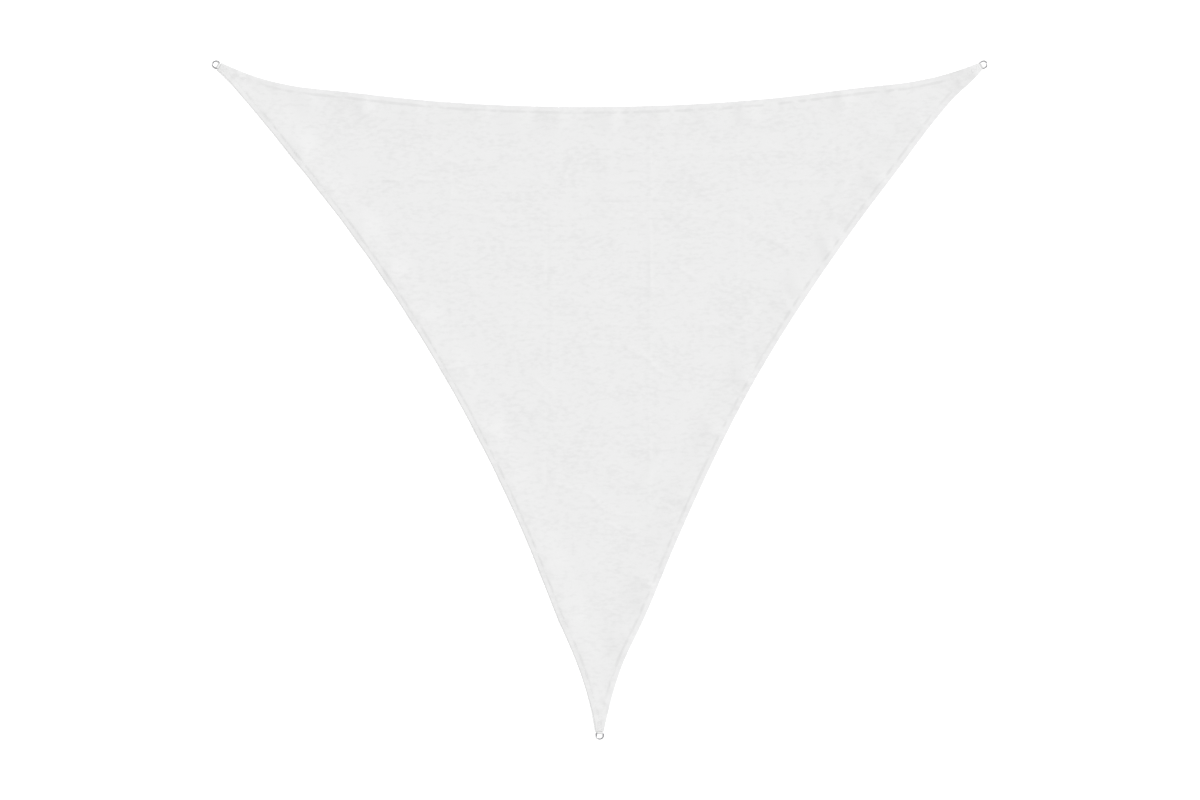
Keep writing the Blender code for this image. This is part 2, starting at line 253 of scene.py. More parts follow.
# %% One edge, as a curve that can be walked along and measured from
class Edge:
    """A hollow edge of the cloth. A station runs along the straight line between its rings."""

    def __init__(self, side):
        first, last = SIDES[side]
        self.rings = (first, last)
        self.start = RINGS[first]
        self.length = float(np.linalg.norm(RINGS[last] - self.start))
        self.along = unit(RINGS[last] - self.start)
        normal = np.array((-self.along[1], self.along[0]))
        self.inside = normal if normal @ -self.start > 0 else -normal
        self.scale = self.length / TABLE_SPAN
        column = EDGE_COLUMNS.index(side)
        marks = [(row[0] * MM * self.scale, row[column] * MM) for row in EDGE_TABLE]
        knots = np.array([self.tip(first)] + marks + [self.tip(last)])
        self.at, self.off = knots[:, 0], knots[:, 1]
        run = np.diff(self.at)
        rise = np.diff(self.off) / run
        inner = (rise[:-1] * run[1:] + rise[1:] * run[:-1]) / (run[:-1] + run[1:])
        self.slopes = np.concatenate(([rise[0]], inner, [rise[-1]]))

    def tip(self, ring):
        """Where the cloth's cut end meets this edge."""
        ends = [corner_point(ring, 0, sign * TIP_WIDTH / 2) - self.start for sign in (-1, 1)]
        places = [(end @ self.along, end @ self.inside) for end in ends]
        return min(places, key=lambda place: place[1])

    def offset(self, station):
        """Offset and slope of the curve at these stations."""
        station = np.clip(station, self.at[0], self.at[-1])
        k = np.clip(np.searchsorted(self.at, station) - 1, 0, len(self.at) - 2)
        run = self.at[k + 1] - self.at[k]
        u = (station - self.at[k]) / run
        low, high = self.off[k], self.off[k + 1]
        leave, reach = self.slopes[k] * run, self.slopes[k + 1] * run
        bend, turn = 2 * (low - high) + leave + reach, 3 * (high - low) - 2 * leave - reach
        value = ((bend * u + turn) * u + leave) * u + low
        return value, ((3 * bend * u + 2 * turn) * u + leave) / run

    def place(self, station, depth):
        """The points this far inside the edge, square to it."""
        value, slope = self.offset(station)
        square = 1 / np.sqrt(1 + slope**2)
        along, inside = station - depth * slope * square, value + depth * square
        return self.start + np.outer(along, self.along) + np.outer(inside, self.inside)

    def measure(self, points):
        """Station of each point, and how far inside this edge it lies."""
        station = (points - self.start) @ self.along
        value, slope = self.offset(station)
        return station, ((points - self.start) @ self.inside - value) / np.sqrt(1 + slope**2)

    def to_ring(self, station):
        """Distance along the line to the nearer of the two rings."""
        return np.minimum(station, self.length - station)

    def stations(self, step, tip_step=4 * MM, growth=0.06):
        """Stations from tip to tip: close together at both ends, then this step apart."""
        half = (self.at[-1] - self.at[0]) / 2
        reached = [0.0]
        while reached[-1] < half:
            reached.append(reached[-1] + min(step, tip_step + growth * reached[-1]))
        near = np.array(reached) * half / reached[-1]
        return self.at[0] + np.concatenate((near, 2 * half - near[-2::-1]))


EDGES = {side: Edge(side) for side in SIDES}


def edge_depth(points):
    """How far each point lies inside the nearest hollow edge."""
    return np.min([edge.measure(points)[1] for edge in EDGES.values()], axis=0)


def tip_depth(points):
    """How far each point lies inside the nearest cut end."""
    return np.min([(points - RINGS[r]) @ inward(r) - TIP_BACK for r in RINGS], axis=0)


for side, edge in EDGES.items():
    sag = round(float(edge.off.max()) / MM)
    print(side, "edge sags", sag, "mm over", round(edge.length, 3), "m")

# %% [markdown]
# ## How the cloth lies
#
# Cloth this large never lies quite flat. Stitching draws each hem in a little, so
# the hems stand off the floor in ripples and the cloth falls from them to the floor
# over a hand's width. A few soft wrinkles cross the middle. At the corners the cloth
# climbs over the webbing sewn under it. The ripples stand at the same stations as in
# the solid, with the same height, but they wander and peak nearer to the edge. The
# wrinkles are finer and lower than the solid's few broad ones, and low billows lie
# between them. The upper face is mostly within 2 mm of the solid's, and at most about
# 4.5 mm higher or 3 mm lower. All are given one by one, with their sizes in millimetres.

# %% Uneven values that are the same on each run
NOISE_SPAN = 1.4  # brings Blender's noise to between about -1 and 1


def uneven(points, size, seed):
    """Smooth noise between about -1 and 1, with bumps this far apart."""
    found = [noise.noise(Vector((x / size, y / size, seed))) for x, y in points]
    return NOISE_SPAN * np.array(found)


def blotches(points, size, seed, middle, swing, least, most):
    """Uneven values that swing about a middle one, cut off at the least and the most."""
    return np.clip(middle + swing * uneven(points, size, seed), least, most)


# %% Ripples of the hems
RIPPLES = {  # each ripple's station in mm, and its share of the full height
    "top": (
        (440, 0.4), (680, 1.0), (910, 0.4), (1200, 0.35), (1405, 0.45), (1590, 0.75),
        (1850, 0.7), (2035, 0.5), (2305, 0.35), (2470, 0.75), (2920, 0.85), (3180, 0.5),
    ),
    "left": (
        (320, 0.7), (520, 1.0), (740, 0.5), (1010, 0.95), (1230, 0.8), (1500, 0.85), (1770, 0.6),
        (2090, 0.95), (2340, 0.4), (2640, 0.3), (2780, 0.6), (3040, 0.8), (3240, 0.35),
    ),
    "right": (
        (390, 0.6), (550, 0.5), (690, 1.0), (1080, 0.75), (1300, 0.8), (1410, 0.5), (1780, 0.7),
        (2120, 0.8), (2410, 0.35), (2590, 0.25), (2900, 0.95), (3150, 0.6),
    ),
}
RIPPLE_HEIGHT = 5.0 * MM
RIPPLE_LENGTH = 55 * MM
RIPPLE_WANDER = 45 * MM  # how far a ripple strays from a straight ridge
WANDER_SIZE, WANDER_SEED = 110 * MM, 8.5
HEM_RISE = 1.5 * MM  # the hem between two ripples
HEM_WIDTH = 30 * MM
RIPPLE_END = 165 * MM  # inside the edge, where the cloth lies on the floor
HEM_SHARE = 0.6  # of a ripple's height, in the stiffer hem
RIPPLE_TOP = 36 * MM  # inside the edge, where a ripple stands highest
END_FREE = 150 * MM  # from a ring, before the hems begin to stand up
END_FADE = 300 * MM


def hem_height(points):
    """How far the hems and the cloth beside them stand off the floor."""
    height = np.zeros(len(points))
    stray = RIPPLE_WANDER * uneven(points, WANDER_SIZE, WANDER_SEED)
    for side, edge in EDGES.items():
        station, depth = edge.measure(points)
        ripples, shares = np.array(RIPPLES[side]).T
        down = 1 - smooth((depth - HEM_WIDTH) / (RIPPLE_END - HEM_WIDTH))
        fade = smooth((edge.to_ring(station) - END_FREE) / END_FADE)
        away = (station + stray)[:, None] - ripples * MM * edge.scale
        rising = HEM_SHARE + (1 - HEM_SHARE) * smooth(depth / RIPPLE_TOP)
        falling = 1 - smooth((depth - RIPPLE_TOP) / (RIPPLE_END - RIPPLE_TOP))
        ripple = RIPPLE_HEIGHT * rising * falling * (shares * bell(away, RIPPLE_LENGTH)).max(axis=1)
        height += fade * (HEM_RISE * down + ripple)
    return height


print("ripples:", {side: len(rows) for side, rows in RIPPLES.items()})

# %% Wrinkles, each a soft ridge along a line of points, in millimetres
WRINKLES = (  # half width, height, and the points of the ridge
    (20, 0.9, ((-130, 262), (-20, 262), (116, 250), (209, 197), (300, 105))),
    (16, 0.7, ((-240, -375), (-130, -415), (-46, -438), (23, -515), (120, -540), (250, -545))),
    (14, 0.7, ((-20, -540), (70, -590), (139, -625), (210, -615), (290, -570))),
    (16, 0.6, ((-330, 125), (-260, 60), (-190, 5))),
    (24, 0.6, ((-560, 850), (-450, 825), (-330, 790))),
    (26, 0.7, ((560, 860), (700, 800), (900, 690))),
    (40, 1.3, ((560, 240), (640, 330), (725, 480))),
    (36, 1.2, ((1050, 880), (1110, 960), (1180, 1095))),
    (34, 1.0, ((190, -410), (245, -310), (305, -195))),
    (8, 0.8, ((1118, 1440), (1116, 1390), (1112, 1300))),
    (7, 0.8, ((35, -1283), (85, -1283))),
    (7, 0.9, ((25, -1335), (75, -1337))),
    (7, 0.8, ((-10, -1466), (34, -1466))),
    (14, 0.5, ((330, 640), (400, 590), (470, 560))),
    (14, 0.5, ((-700, 1010), (-630, 980), (-560, 960))),
    (16, 0.5, ((-190, 960), (-150, 1080), (-80, 1190))),
    (14, 0.5, ((-420, 560), (-330, 520), (-260, 540))),
    (14, 0.5, ((70, 880), (150, 850), (240, 870))),
    (16, 0.5, ((-820, 1180), (-760, 1130), (-650, 1100))),
    (14, 0.5, ((760, 1180), (840, 1150), (980, 1160))),
    (12, 0.4, ((-60, -870), (20, -900), (70, -880))),
    (12, 0.4, ((90, -30), (160, -60), (260, -40))),
)
WRINKLE_END = 60 * MM  # how soon a wrinkle dies away at its ends


def beside_line(points, line):
    """How far each point is from a line and along it, and how long the line is."""
    best = np.full(len(points), np.inf)
    along = np.zeros(len(points))
    walked = 0.0
    for start, end in zip(line[:-1], line[1:]):
        way = end - start
        length = np.linalg.norm(way)
        t = np.clip((points - start) @ way / length**2, 0, 1)
        away = np.linalg.norm(points - start - np.outer(t, way), axis=1)
        nearer = away < best
        best[nearer] = away[nearer]
        along[nearer] = walked + t[nearer] * length
        walked += length
    return best, along, walked


def wrinkle_height(points):
    """The heights of the wrinkles, which fade towards both ends."""
    total = np.zeros(len(points))
    for half_width, high, line in WRINKLES:
        away, along, length = beside_line(points, np.array(line) * MM)
        half, fade = half_width * MM, min(WRINKLE_END, length / 2)
        ends = smooth((along + half / 4) / fade) * smooth((length - along + half / 4) / fade)
        total += high * MM * ends * (1 - smooth(away / half))
    return total


print("wrinkles:", len(WRINKLES))

# %% The rise over the webbing at the corners
WEB_THICK = 1.5 * MM
GAP = 0.3 * MM
LIFT = 2 * (WEB_THICK + GAP)
LIFT_FLAT = 62 * MM  # behind a cut end, as far as the webbing holds the cloth level
LIFT_END = 220 * MM
TIP_RISE = 4.1 * MM  # more, at the cut end, where the webbing comes down from its ring
TIP_RISE_END = 150 * MM


def corner_lift(points):
    """How far the cloth is raised by the webbing under the corners."""
    back = tip_depth(points)
    near = 1 - smooth((back - LIFT_FLAT) / (LIFT_END - LIFT_FLAT))
    return LIFT * near + TIP_RISE * (1 - smooth(back / TIP_RISE_END))


print("lift at the corners:", round(LIFT / MM, 1), "mm")

# %% [markdown]
# ## Packing creases
#
# The sail comes out of a small bag, folded in both directions, and the fold lines
# stay in the knit as a faint grid. A fold that pointed up is a low ridge. One that
# pointed down stays low, and the cloth beside it stands up a little. None is even for
# long, so their height wanders along the line. The solid has none of them.

# %% The creases, in millimetres
CREASES = (  # x and y of both ends, whether the fold points up, and its height
    (-998, 1016, -232, 1016, True, 1.3),
    (-93, 1016, 232, 1014, True, 1.3),
    (302, 1012, 743, 1014, True, 1.1),
    (812, 1014, 1120, 1018, True, 1.2),
    (-700, 1113, 760, 1113, False, 0.6),
    (-820, 923, 900, 921, False, 0.7),
    (-640, 844, 700, 846, True, 0.6),
    (-560, 487, 640, 486, False, 0.7),
    (-720, 345, -120, 347, True, 0.9),
    (-40, 345, 640, 343, True, 1.0),
    (-420, 20, 520, 22, False, 0.5),
    (-300, -237, 330, -236, True, 0.8),
    (-250, -560, 190, -560, False, 0.5),
    (-696, 1300, -692, 240, True, 0.5),
    (-241, 1330, -246, -420, False, 0.4),
    (232, 1340, 228, -660, True, 0.6),
    (650, 1310, 654, 60, False, 0.5),
    (1095, 1270, 1092, 640, False, 0.5),
)
CREASE_SIDE = 17 * MM  # from the line to the foot of a ridge
VALLEY_FOOT = 60 * MM  # and to the foot of the rise beside a valley
CREASE_END = 70 * MM
CREASE_WANDER = {"size": 90 * MM, "seed": 3.7}
CREASE_SHARES = {"middle": 0.62, "swing": 0.8, "least": 0.1, "most": 1.3}


def crease_height(points):
    """The grid of packing creases."""
    total = np.zeros(len(points))
    wander = blotches(points, **CREASE_WANDER, **CREASE_SHARES)
    for x1, y1, x2, y2, points_up, high in CREASES:
        line = np.array((x2 - x1, y2 - y1)) * MM
        length = np.linalg.norm(line)
        t = (points - np.array((x1, y1)) * MM) @ line / length
        side = np.abs((points - np.array((x1, y1)) * MM) @ np.array((-line[1], line[0])) / length)
        ends = smooth(t / CREASE_END) * smooth((length - t) / CREASE_END)
        rise = smooth(side / CREASE_SIDE)
        fall = 1 - smooth((side - CREASE_SIDE) / (VALLEY_FOOT - CREASE_SIDE))
        total += high * MM * ends * wander * (1 - rise if points_up else rise * fall)
    return total


print("creases:", len(CREASES))

# %% [markdown]
# ## The hem
#
# The edge of the cloth is turned under by 30 mm and sewn 23 to 28 mm from the fold.
# Between fold and stitching the two layers stay a little apart, like a flat tube,
# and the thread pulls them together in a narrow groove. Past the groove the
# turned-under edge still shows as a low step. The thread also gathers the cloth, so
# small gathers run along the seam and die away into the cloth.

# %% The hem's own shape
CLOTH_THICK = 1.5 * MM
HEM_THICK = 3.0 * MM
HEM_STEP = 3.0 * MM
HEM_TUBE = 0.10 * MM  # how far the tube stands above the two flat layers
SEAM_DEPTHS = {"top": 28 * MM, "left": 23.5 * MM, "right": 28 * MM}  # from fold to stitching
GROOVE_DEPTH = 0.05 * MM
GROOVE_HALF = 3.0 * MM
GROOVE_LEAST = 0.4  # of its depth, where the thread doesn't pull at all
PRESSED = 45 * MM  # behind a cut end, where the sewing presses the layers thin
END_THICK = 0.5 * MM  # of the pressed layers, at a cut end
PINCHES = {"size": 34 * MM, "seed": 5.2, "middle": 0.9, "swing": 2.0, "least": 0.0, "most": 2.6}


def pinch(points):
    """How hard the thread pulls here: about 1, and not at all or over twice that in places."""
    return blotches(points, **PINCHES)


def past_seam(points):
    """How far each point lies inside the stitching of its nearest edge."""
    depths = np.array([edge.measure(points)[1] for edge in EDGES.values()])
    seams = np.array([SEAM_DEPTHS[side] for side in EDGES])
    return depths.min(axis=0) - seams[depths.argmin(axis=0)]


def hem_profile(points):
    """Height across the hem: the tube between fold and stitching, and the stitching's groove."""
    depth = edge_depth(points)
    near = depth < 2 * HEM_WIDTH
    profile = (END_THICK - HEM_THICK) * (1 - smooth(tip_depth(points) / PRESSED))
    from_tip = smooth((tip_depth(points[near]) - HEM_THICK) / HEM_WIDTH)
    past = past_seam(points[near])
    tube = HEM_TUBE * from_tip * np.sin(np.pi * np.clip(depth[near] / (depth[near] - past), 0, 1))
    pull = GROOVE_LEAST + (1 - GROOVE_LEAST) * pinch(points[near])
    profile[near] += tube - GROOVE_DEPTH * pull * bell(past, GROOVE_HALF)
    return profile


def sheet_thickness(points):
    """Two layers in the hem, one beyond it. The turned edge is on the underside."""
    step = 1 - smooth((edge_depth(points) - HEM_WIDTH) / HEM_STEP)
    unpressed = CLOTH_THICK + (HEM_THICK - CLOTH_THICK) * step
    return END_THICK + (unpressed - END_THICK) * smooth(tip_depth(points) / PRESSED)


def fold_roundness(points):
    """0 on the fold, growing to 1 half a thickness inside it, as round as the fold is."""
    rim = np.minimum(edge_depth(points) / (HEM_THICK / 2), tip_depth(points) / (END_THICK / 2))
    return np.sqrt(1 - (1 - np.clip(rim, 0, 1)) ** 2)


print("hem:", HEM_WIDTH / MM, "mm wide, sewn this far from its fold, in mm:")
print({side: depth / MM for side, depth in SEAM_DEPTHS.items()})

# %% Gathers along the seam
GATHER_HEIGHT = 0.5 * MM
GATHER_SPACING = 40 * MM
GATHER_SLANT = 0.35  # how far a gather leans along the edge on its way in
GATHER_REACH = 95 * MM
GATHER_FREE = 30 * MM  # the webbing keeps the cloth even this close to a ring
GATHER_FADE = 90 * MM
GATHER_SEEDS = {"top": 11.3, "left": 23.1, "right": 37.9}


def gather_height(points):
    """Small gathers that the thread draws into the hem and the cloth beside it."""
    total = np.zeros(len(points))
    for side, edge in EDGES.items():
        station, depth = edge.measure(points)
        near = depth < GATHER_REACH
        local = np.stack((station[near] + GATHER_SLANT * depth[near], depth[near] / 2), axis=1)
        waves = uneven(local, GATHER_SPACING, GATHER_SEEDS[side])
        fade = 1 - smooth((depth[near] - HEM_WIDTH) / (GATHER_REACH - HEM_WIDTH))
        ends = smooth((edge.to_ring(station[near]) - GATHER_FREE) / GATHER_FADE)
        total[near] += GATHER_HEIGHT * waves * fade * ends
    return total


print("gathers up to", GATHER_HEIGHT / MM, "mm high, about", GATHER_SPACING / MM, "mm apart")

# %% The whole upper face
BILLOWS = ((260 * MM, 0.35 * MM), (110 * MM, 0.35 * MM), (55 * MM, 0.10 * MM))  # spacing, height


def sheet_top(points):
    """Height of the upper face above the floor. Each billow's spacing in mm is its seed too."""
    inside = smooth((edge_depth(points) - HEM_WIDTH) / (RIPPLE_END - HEM_WIDTH))
    height = HEM_THICK - (HEM_THICK - CLOTH_THICK) * inside
    height += hem_height(points) + corner_lift(points) + hem_profile(points) + gather_height(points)
    height += wrinkle_height(points) + crease_height(points) * inside
    for size, high in BILLOWS:
        height += high * inside * (1 + uneven(points, size, size / MM))
    return height


def sheet_underside(points):
    """Height of the underside. It never goes below the floor."""
    return np.maximum(sheet_top(points) - sheet_thickness(points), 0.0)


middle = np.array([(0.0, 0.4)])
print("thickness in the middle:", round(float(sheet_thickness(middle)[0]) / MM, 2), "mm")

# %% [markdown]
# ## The sheet's mesh
#
# A plain grid would waste its points: the seam needs one every 2 mm across, and the
# middle of the cloth one every 15 mm. So rows of points follow each edge, closest at
# the groove, a few rows follow each crease, and an even grid fills the rest.
# Blender's Delaunay function joins them all to triangles that are as even as they
# can be. It also fills the hollows outside the edges, and those triangles are
# dropped.

# %% Rows along the hems
def in_mm(*values):
    """Millimetres as metres."""
    return tuple(value * MM for value in values)


HEM_ROWS = in_mm(0.5, 1.5, 4, 8, 12.5, 17, 20, 22, 24, 25.5, 27, 29, 31, 34, 38, 43, 50)
WIDE_ROWS = in_mm(60, 74, 90, 106, 124, 144, 165)
HEM_STATION = 9 * MM
WIDE_STATION = 14 * MM
TIP_ROWS = in_mm(0.5, 1.5, 4, 8, 14)
TIP_STATION = 5 * MM
ROW_CLEAR = 3 * MM  # between the end of one row and the next edge's rows


def row_points(edge, depth, stations):
    """The points of one row that lie nearer to this edge than to another or to a cut end."""
    row = edge.place(stations, depth)
    others = [other.measure(row)[1] for other in EDGES.values() if other is not edge]
    room = np.minimum(np.min(others, axis=0), tip_depth(row))
    return row[room > depth + min(ROW_CLEAR, depth / 2)]


def rim_points():
    """The outline of the cloth in order, from the upper left corner down, up and back."""
    rim = []
    for side, turned in (("left", False), ("right", True), ("top", True)):
        edge = EDGES[side]
        line = edge.place(edge.stations(HEM_STATION), 0.0)
        rim.append(line[::-1] if turned else line)
    outline = []
    for i, line in enumerate(rim):
        outline.extend(line)
        start, end = line[-1], rim[(i + 1) % 3][0]
        steps = round(float(np.linalg.norm(end - start)) / TIP_STATION)
        outline.extend(start + (end - start) * k / steps for k in range(1, steps))
    return outline


def tip_rows():
    """Rows behind each cut end, for the round of its fold."""
    places = [(back, k * TIP_STATION) for back in TIP_ROWS for k in range(-3, 4)]
    found = np.array([corner_point(ring, *place) for ring in RINGS for place in places])
    return found[edge_depth(found) > tip_depth(found)]


outline = rim_points()
print("points on the outline:", len(outline))

# %% Rows along creases and wrinkles, and an even grid over the rest
CREASE_ROWS = in_mm(-30, -17, -10, -5, 0, 5, 10, 17, 30)
CREASE_STEP = 22 * MM
WRINKLE_SHARES = (-1.0, -0.66, -0.33, 0.0, 0.33, 0.66, 1.0)
WRINKLE_STEP = 14 * MM
FIELD_STEP = 15 * MM
CORNER_STEP = 3.2 * MM
CORNER_SIDE = 62 * MM


def beside_rows(line, offsets, step):
    """Rows of points beside a line, at these offsets."""
    found = []
    for start, end in zip(line[:-1], line[1:]):
        length = np.linalg.norm(end - start)
        square = np.array((start[1] - end[1], end[0] - start[0])) / length
        count = math.ceil(length / step)
        for k in range(count + 1):
            found.extend(start + (end - start) * k / count + square * offset for offset in offsets)
    return np.array(found)


def even_grid(step, half_x, half_y):
    """An even triangular grid round the origin."""
    row_step = step * math.sqrt(3) / 2
    rows, columns = math.ceil(half_y / row_step), math.ceil(half_x / step)
    grid = [
        ((i + 0.5 * (j % 2)) * step, j * row_step)
        for j in range(-rows, rows + 1)
        for i in range(-columns, columns + 1)
    ]
    return np.array(grid)


def search_tree(points):
    """A tree that finds the nearest of these points. One far off keeps it from being empty."""
    tree = kdtree.KDTree(len(points) + 1)
    for i, (x, y) in enumerate([*points, (99, 99)]):
        tree.insert((x, y, 0), i)
    tree.balance()
    return tree


def thin_out(groups):
    """Keeps the points of each group that are far enough from those kept before."""
    kept = np.zeros((0, 2))
    for points, space in groups:
        tree = search_tree(kept)
        clear = [tree.find((x, y, 0))[2] > space for x, y in points]
        kept = np.concatenate((kept, points[clear]))
    return kept


crease_points = np.concatenate([
    beside_rows(np.array((row[0:2], row[2:4])) * MM, CREASE_ROWS, CREASE_STEP) for row in CREASES
])
wrinkle_points = np.concatenate([
    beside_rows(np.array(line) * MM, [s * half * MM for s in WRINKLE_SHARES], WRINKLE_STEP)
    for half, _, line in WRINKLES
])
corner_grid = even_grid(CORNER_STEP, CORNER_SIDE, CORNER_SIDE)
corner_points = np.concatenate([corner_grid + corner_point(r, CORNER_SIDE / 2, 0) for r in RINGS])
print("points beside creases:", len(crease_points), "and beside wrinkles:", len(wrinkle_points))


# %% The plan of each face
UNDER_ROWS = in_mm(0.5, 1.5, 6, 20, 30, 33, 60, 100, 165)
UNDER_STATION = 30 * MM
UNDER_FIELD = 60 * MM
POINT_CLEAR = 2 * MM
FIELD_CLEAR = 5 * MM  # between the last row and the grid


def plan_face(rows, station_steps, groups):
    """All points of one face seen from above, and the lines that triangles may not cross."""
    points = list(outline)
    lines = [(i, (i + 1) % len(points)) for i in range(len(points))]
    for edge in EDGES.values():
        for depth, step in zip(rows, station_steps):
            row = row_points(edge, depth, edge.stations(step))
            first = len(points)
            points.extend(row)
            lines.extend((first + i, first + i + 1) for i in range(len(row) - 1))
    points.extend(tip_rows())
    room = [(found[inside_rows(found, rows[-1])], space) for found, space in groups]
    taken = search_tree(points)
    extra = [p for p in thin_out(room) if taken.find((*p, 0))[2] > POINT_CLEAR]
    return points + extra, lines


def inside_rows(points, last_row):
    """Which points lie inside the last row of the hems, or well inside a corner."""
    depth, tip = edge_depth(points), tip_depth(points)
    in_corner = (tip < CORNER_SIDE) & (tip > POINT_CLEAR) & (depth > POINT_CLEAR)
    return in_corner | (depth > last_row + FIELD_CLEAR)


SLIVER = 0.01 * MM**2  # smaller triangles only lie between points of one straight line
SAME_POINT = 1e-7  # metres


def triangulate(points, lines):
    """Delaunay triangles of a plan, without those outside the cloth."""
    vectors = [Vector((float(x), float(y))) for x, y in points]
    placed, _, faces, _, _, _ = delaunay_2d_cdt(vectors, lines, [], 0, SAME_POINT, False)
    placed = np.array([tuple(v) for v in placed])
    faces = np.array([tuple(face) for face in faces])
    corners = placed[faces]
    middles = corners.mean(axis=1)
    one, two = corners[:, 1] - corners[:, 0], corners[:, 2] - corners[:, 0]
    area = np.abs(one[:, 0] * two[:, 1] - one[:, 1] * two[:, 0]) / 2
    return placed, faces[(edge_depth(middles) > 0) & (tip_depth(middles) > 0) & (area > SLIVER)]


all_rows = HEM_ROWS + WIDE_ROWS
steps = [HEM_STATION] * len(HEM_ROWS) + [WIDE_STATION] * len(WIDE_ROWS)
groups = [
    (corner_points, 0.0),
    (wrinkle_points, 4 * MM),
    (crease_points, 4 * MM),
    (even_grid(FIELD_STEP, half_top, half_drop), 0.6 * FIELD_STEP),
]
top_plan, top_faces = triangulate(*plan_face(all_rows, steps, groups))
steps = [UNDER_STATION] * len(UNDER_ROWS)
groups = [(even_grid(UNDER_FIELD, half_top, half_drop), 0.0)]
under_plan, under_faces = triangulate(*plan_face(UNDER_ROWS, steps, groups))
print("upper face:", len(top_faces), "triangles; underside:", len(under_faces))


# %% Join both faces at the fold
ON_RIM = 0.1 * MM  # from the fold, where both faces share their points


def build_sheet(name):
    """The closed sheet: an upper face and an underside that meet in the round fold."""
    top, thick = sheet_top(top_plan), sheet_thickness(top_plan)
    share = fold_roundness(top_plan)
    under = np.maximum(top - thick, 0.0)
    top = np.where(share < 1, under + thick / 2 * (1 + share), top)
    low = sheet_underside(under_plan)
    share = fold_roundness(under_plan)
    low = np.where(share < 1, low + sheet_thickness(under_plan) / 2 * (1 - share), low)
    rim = np.minimum(edge_depth(under_plan), tip_depth(under_plan)) < ON_RIM
    tree = search_tree(top_plan)
    index = np.cumsum(~rim) - 1 + len(top_plan)
    for i in np.flatnonzero(rim):
        index[i] = tree.find((*under_plan[i], 0))[1]
    upper, lower = np.column_stack((top_plan, top)), np.column_stack((under_plan, low))
    places = np.concatenate((upper, lower[~rim]))
    faces = np.concatenate((top_faces, index[under_faces[:, ::-1]]))
    mesh = bpy.data.meshes.new(name)
    mesh.from_pydata(places.tolist(), [], faces.tolist())
    mesh.update()
    mesh.shade_smooth()
    made = bpy.data.objects.new(name, mesh)
    bpy.context.scene.collection.objects.link(made)
    return made


shade_cloth = build_sheet("shade_cloth")
check = bmesh.new()
check.from_mesh(shade_cloth.data)
print("cloth:", len(check.faces), "triangles")
print("open edges:", sum(1 for e in check.edges if not e.is_manifold))
print("loose points:", sum(1 for v in check.verts if not v.link_faces))
heights = [v.co.z / MM for v in check.verts]
print("it lies from", round(min(heights), 2), "to", round(max(heights), 2), "mm above the floor")
check.free()

# %% Painted shade along the seams, the creases and the box stitching, and over the corner puckers
# Painted shade: widths and shares of the shade painted into the cloth's colour at these places.
SEAM_SHADE_HALF = 5.0 * MM
CREASE_SHADE_HALF = 4.5 * MM
CREASE_SHADE_SHARE = 0.9
BOX_SHADE_HALF = 2.2 * MM
BOX_SHADE_SHARE = 0.3
PUCKER_BACK = 100 * MM  # behind a cut end, where the two hems meet and pucker most
PUCKER_HALF = 65 * MM
PUCKER_SHADE_SHARE = 0.4
PUCKER_SPACING = {"size": 27 * MM, "seed": 10.09}
PUCKER_SHADE_SPOTS = {"middle": 0.3, "swing": 2.6, "least": 0.0, "most": 3.0, **PUCKER_SPACING}
BROKEN_BACK = 110 * MM  # behind a cut end, the puckers break a seam's line into spots
BROKEN_FADE = 160 * MM
SPOTS = {"middle": -0.4, "swing": 4.0, "least": 0.0, "most": 2.6, **PUCKER_SPACING}
BOX_START, BOX_END, BOX_HALF = 8 * MM, 46 * MM, 9 * MM
BOX_CORNERS = ((BOX_START, -1), (BOX_END, -1), (BOX_END, 1), (BOX_START, 1))


def box_lines(ring):
    """The box and cross that are sewn over a webbing loop."""
    corners = [corner_point(ring, back, sign * BOX_HALF) for back, sign in BOX_CORNERS]
    pairs = ((0, 1), (1, 2), (2, 3), (3, 0), (0, 2), (1, 3))
    return [np.array((corners[a], corners[b])) for a, b in pairs]


def painted_line_shade(points):
    """Painted shade: about 1 on a sewn line, less on a crease, and 0 on plain cloth."""
    back, hem = tip_depth(points), edge_depth(points) < 3 * HEM_WIDTH
    shade_amount = np.zeros(len(points))
    whole = smooth((back[hem] - BROKEN_BACK) / BROKEN_FADE)
    share = whole * pinch(points[hem]) + (1 - whole) * blotches(points[hem], **SPOTS)
    shade_amount[hem] = share * bell(past_seam(points[hem]), SEAM_SHADE_HALF)
    for ring in RINGS:
        for line in box_lines(ring):
            away, _, _ = beside_line(points, line)
            shade_amount = np.maximum(shade_amount, BOX_SHADE_SHARE * bell(away, BOX_SHADE_HALF))
    shade_amount += PUCKER_SHADE_SHARE * blotches(points, **PUCKER_SHADE_SPOTS) * bell(back - PUCKER_BACK, PUCKER_HALF)
    wander = np.clip(uneven(points, **CREASE_WANDER), 0, 1)
    for x1, y1, x2, y2, _, high in CREASES:
        away, _, _ = beside_line(points, np.array(((x1, y1), (x2, y2))) * MM)
        shade_amount = np.maximum(shade_amount, CREASE_SHADE_SHARE * high * wander * bell(away, CREASE_SHADE_HALF))
    return shade_amount


# The painted shade goes on the upper face's points, where the cloth's colour reads it.
shade_amount = np.zeros(len(shade_cloth.data.vertices))
shade_amount[: len(top_plan)] = painted_line_shade(top_plan)
shade_cloth.data.attributes.new("painted_line_shade", "FLOAT", "POINT").data.foreach_set("value", shade_amount)
print("darkest line:", round(float(shade_amount.max()), 2))

# %% [markdown]
# ## The sewing
#
# The seams are lockstitch in a thick white thread. From above, each stitch is a short
# bead of thread that dips into the cloth at both ends. One bead is modelled, an Array
# modifier makes a row of it, and a Curve modifier lays the row along a line on the
# cloth: along the groove of each hem, and in a box with a cross over the webbing.

# %% Selecting helpers
def only(made):
    """Selects this object alone and makes it the active one."""
    bpy.ops.object.select_all(action="DESELECT")
    made.select_set(True)
    bpy.context.view_layer.objects.active = made


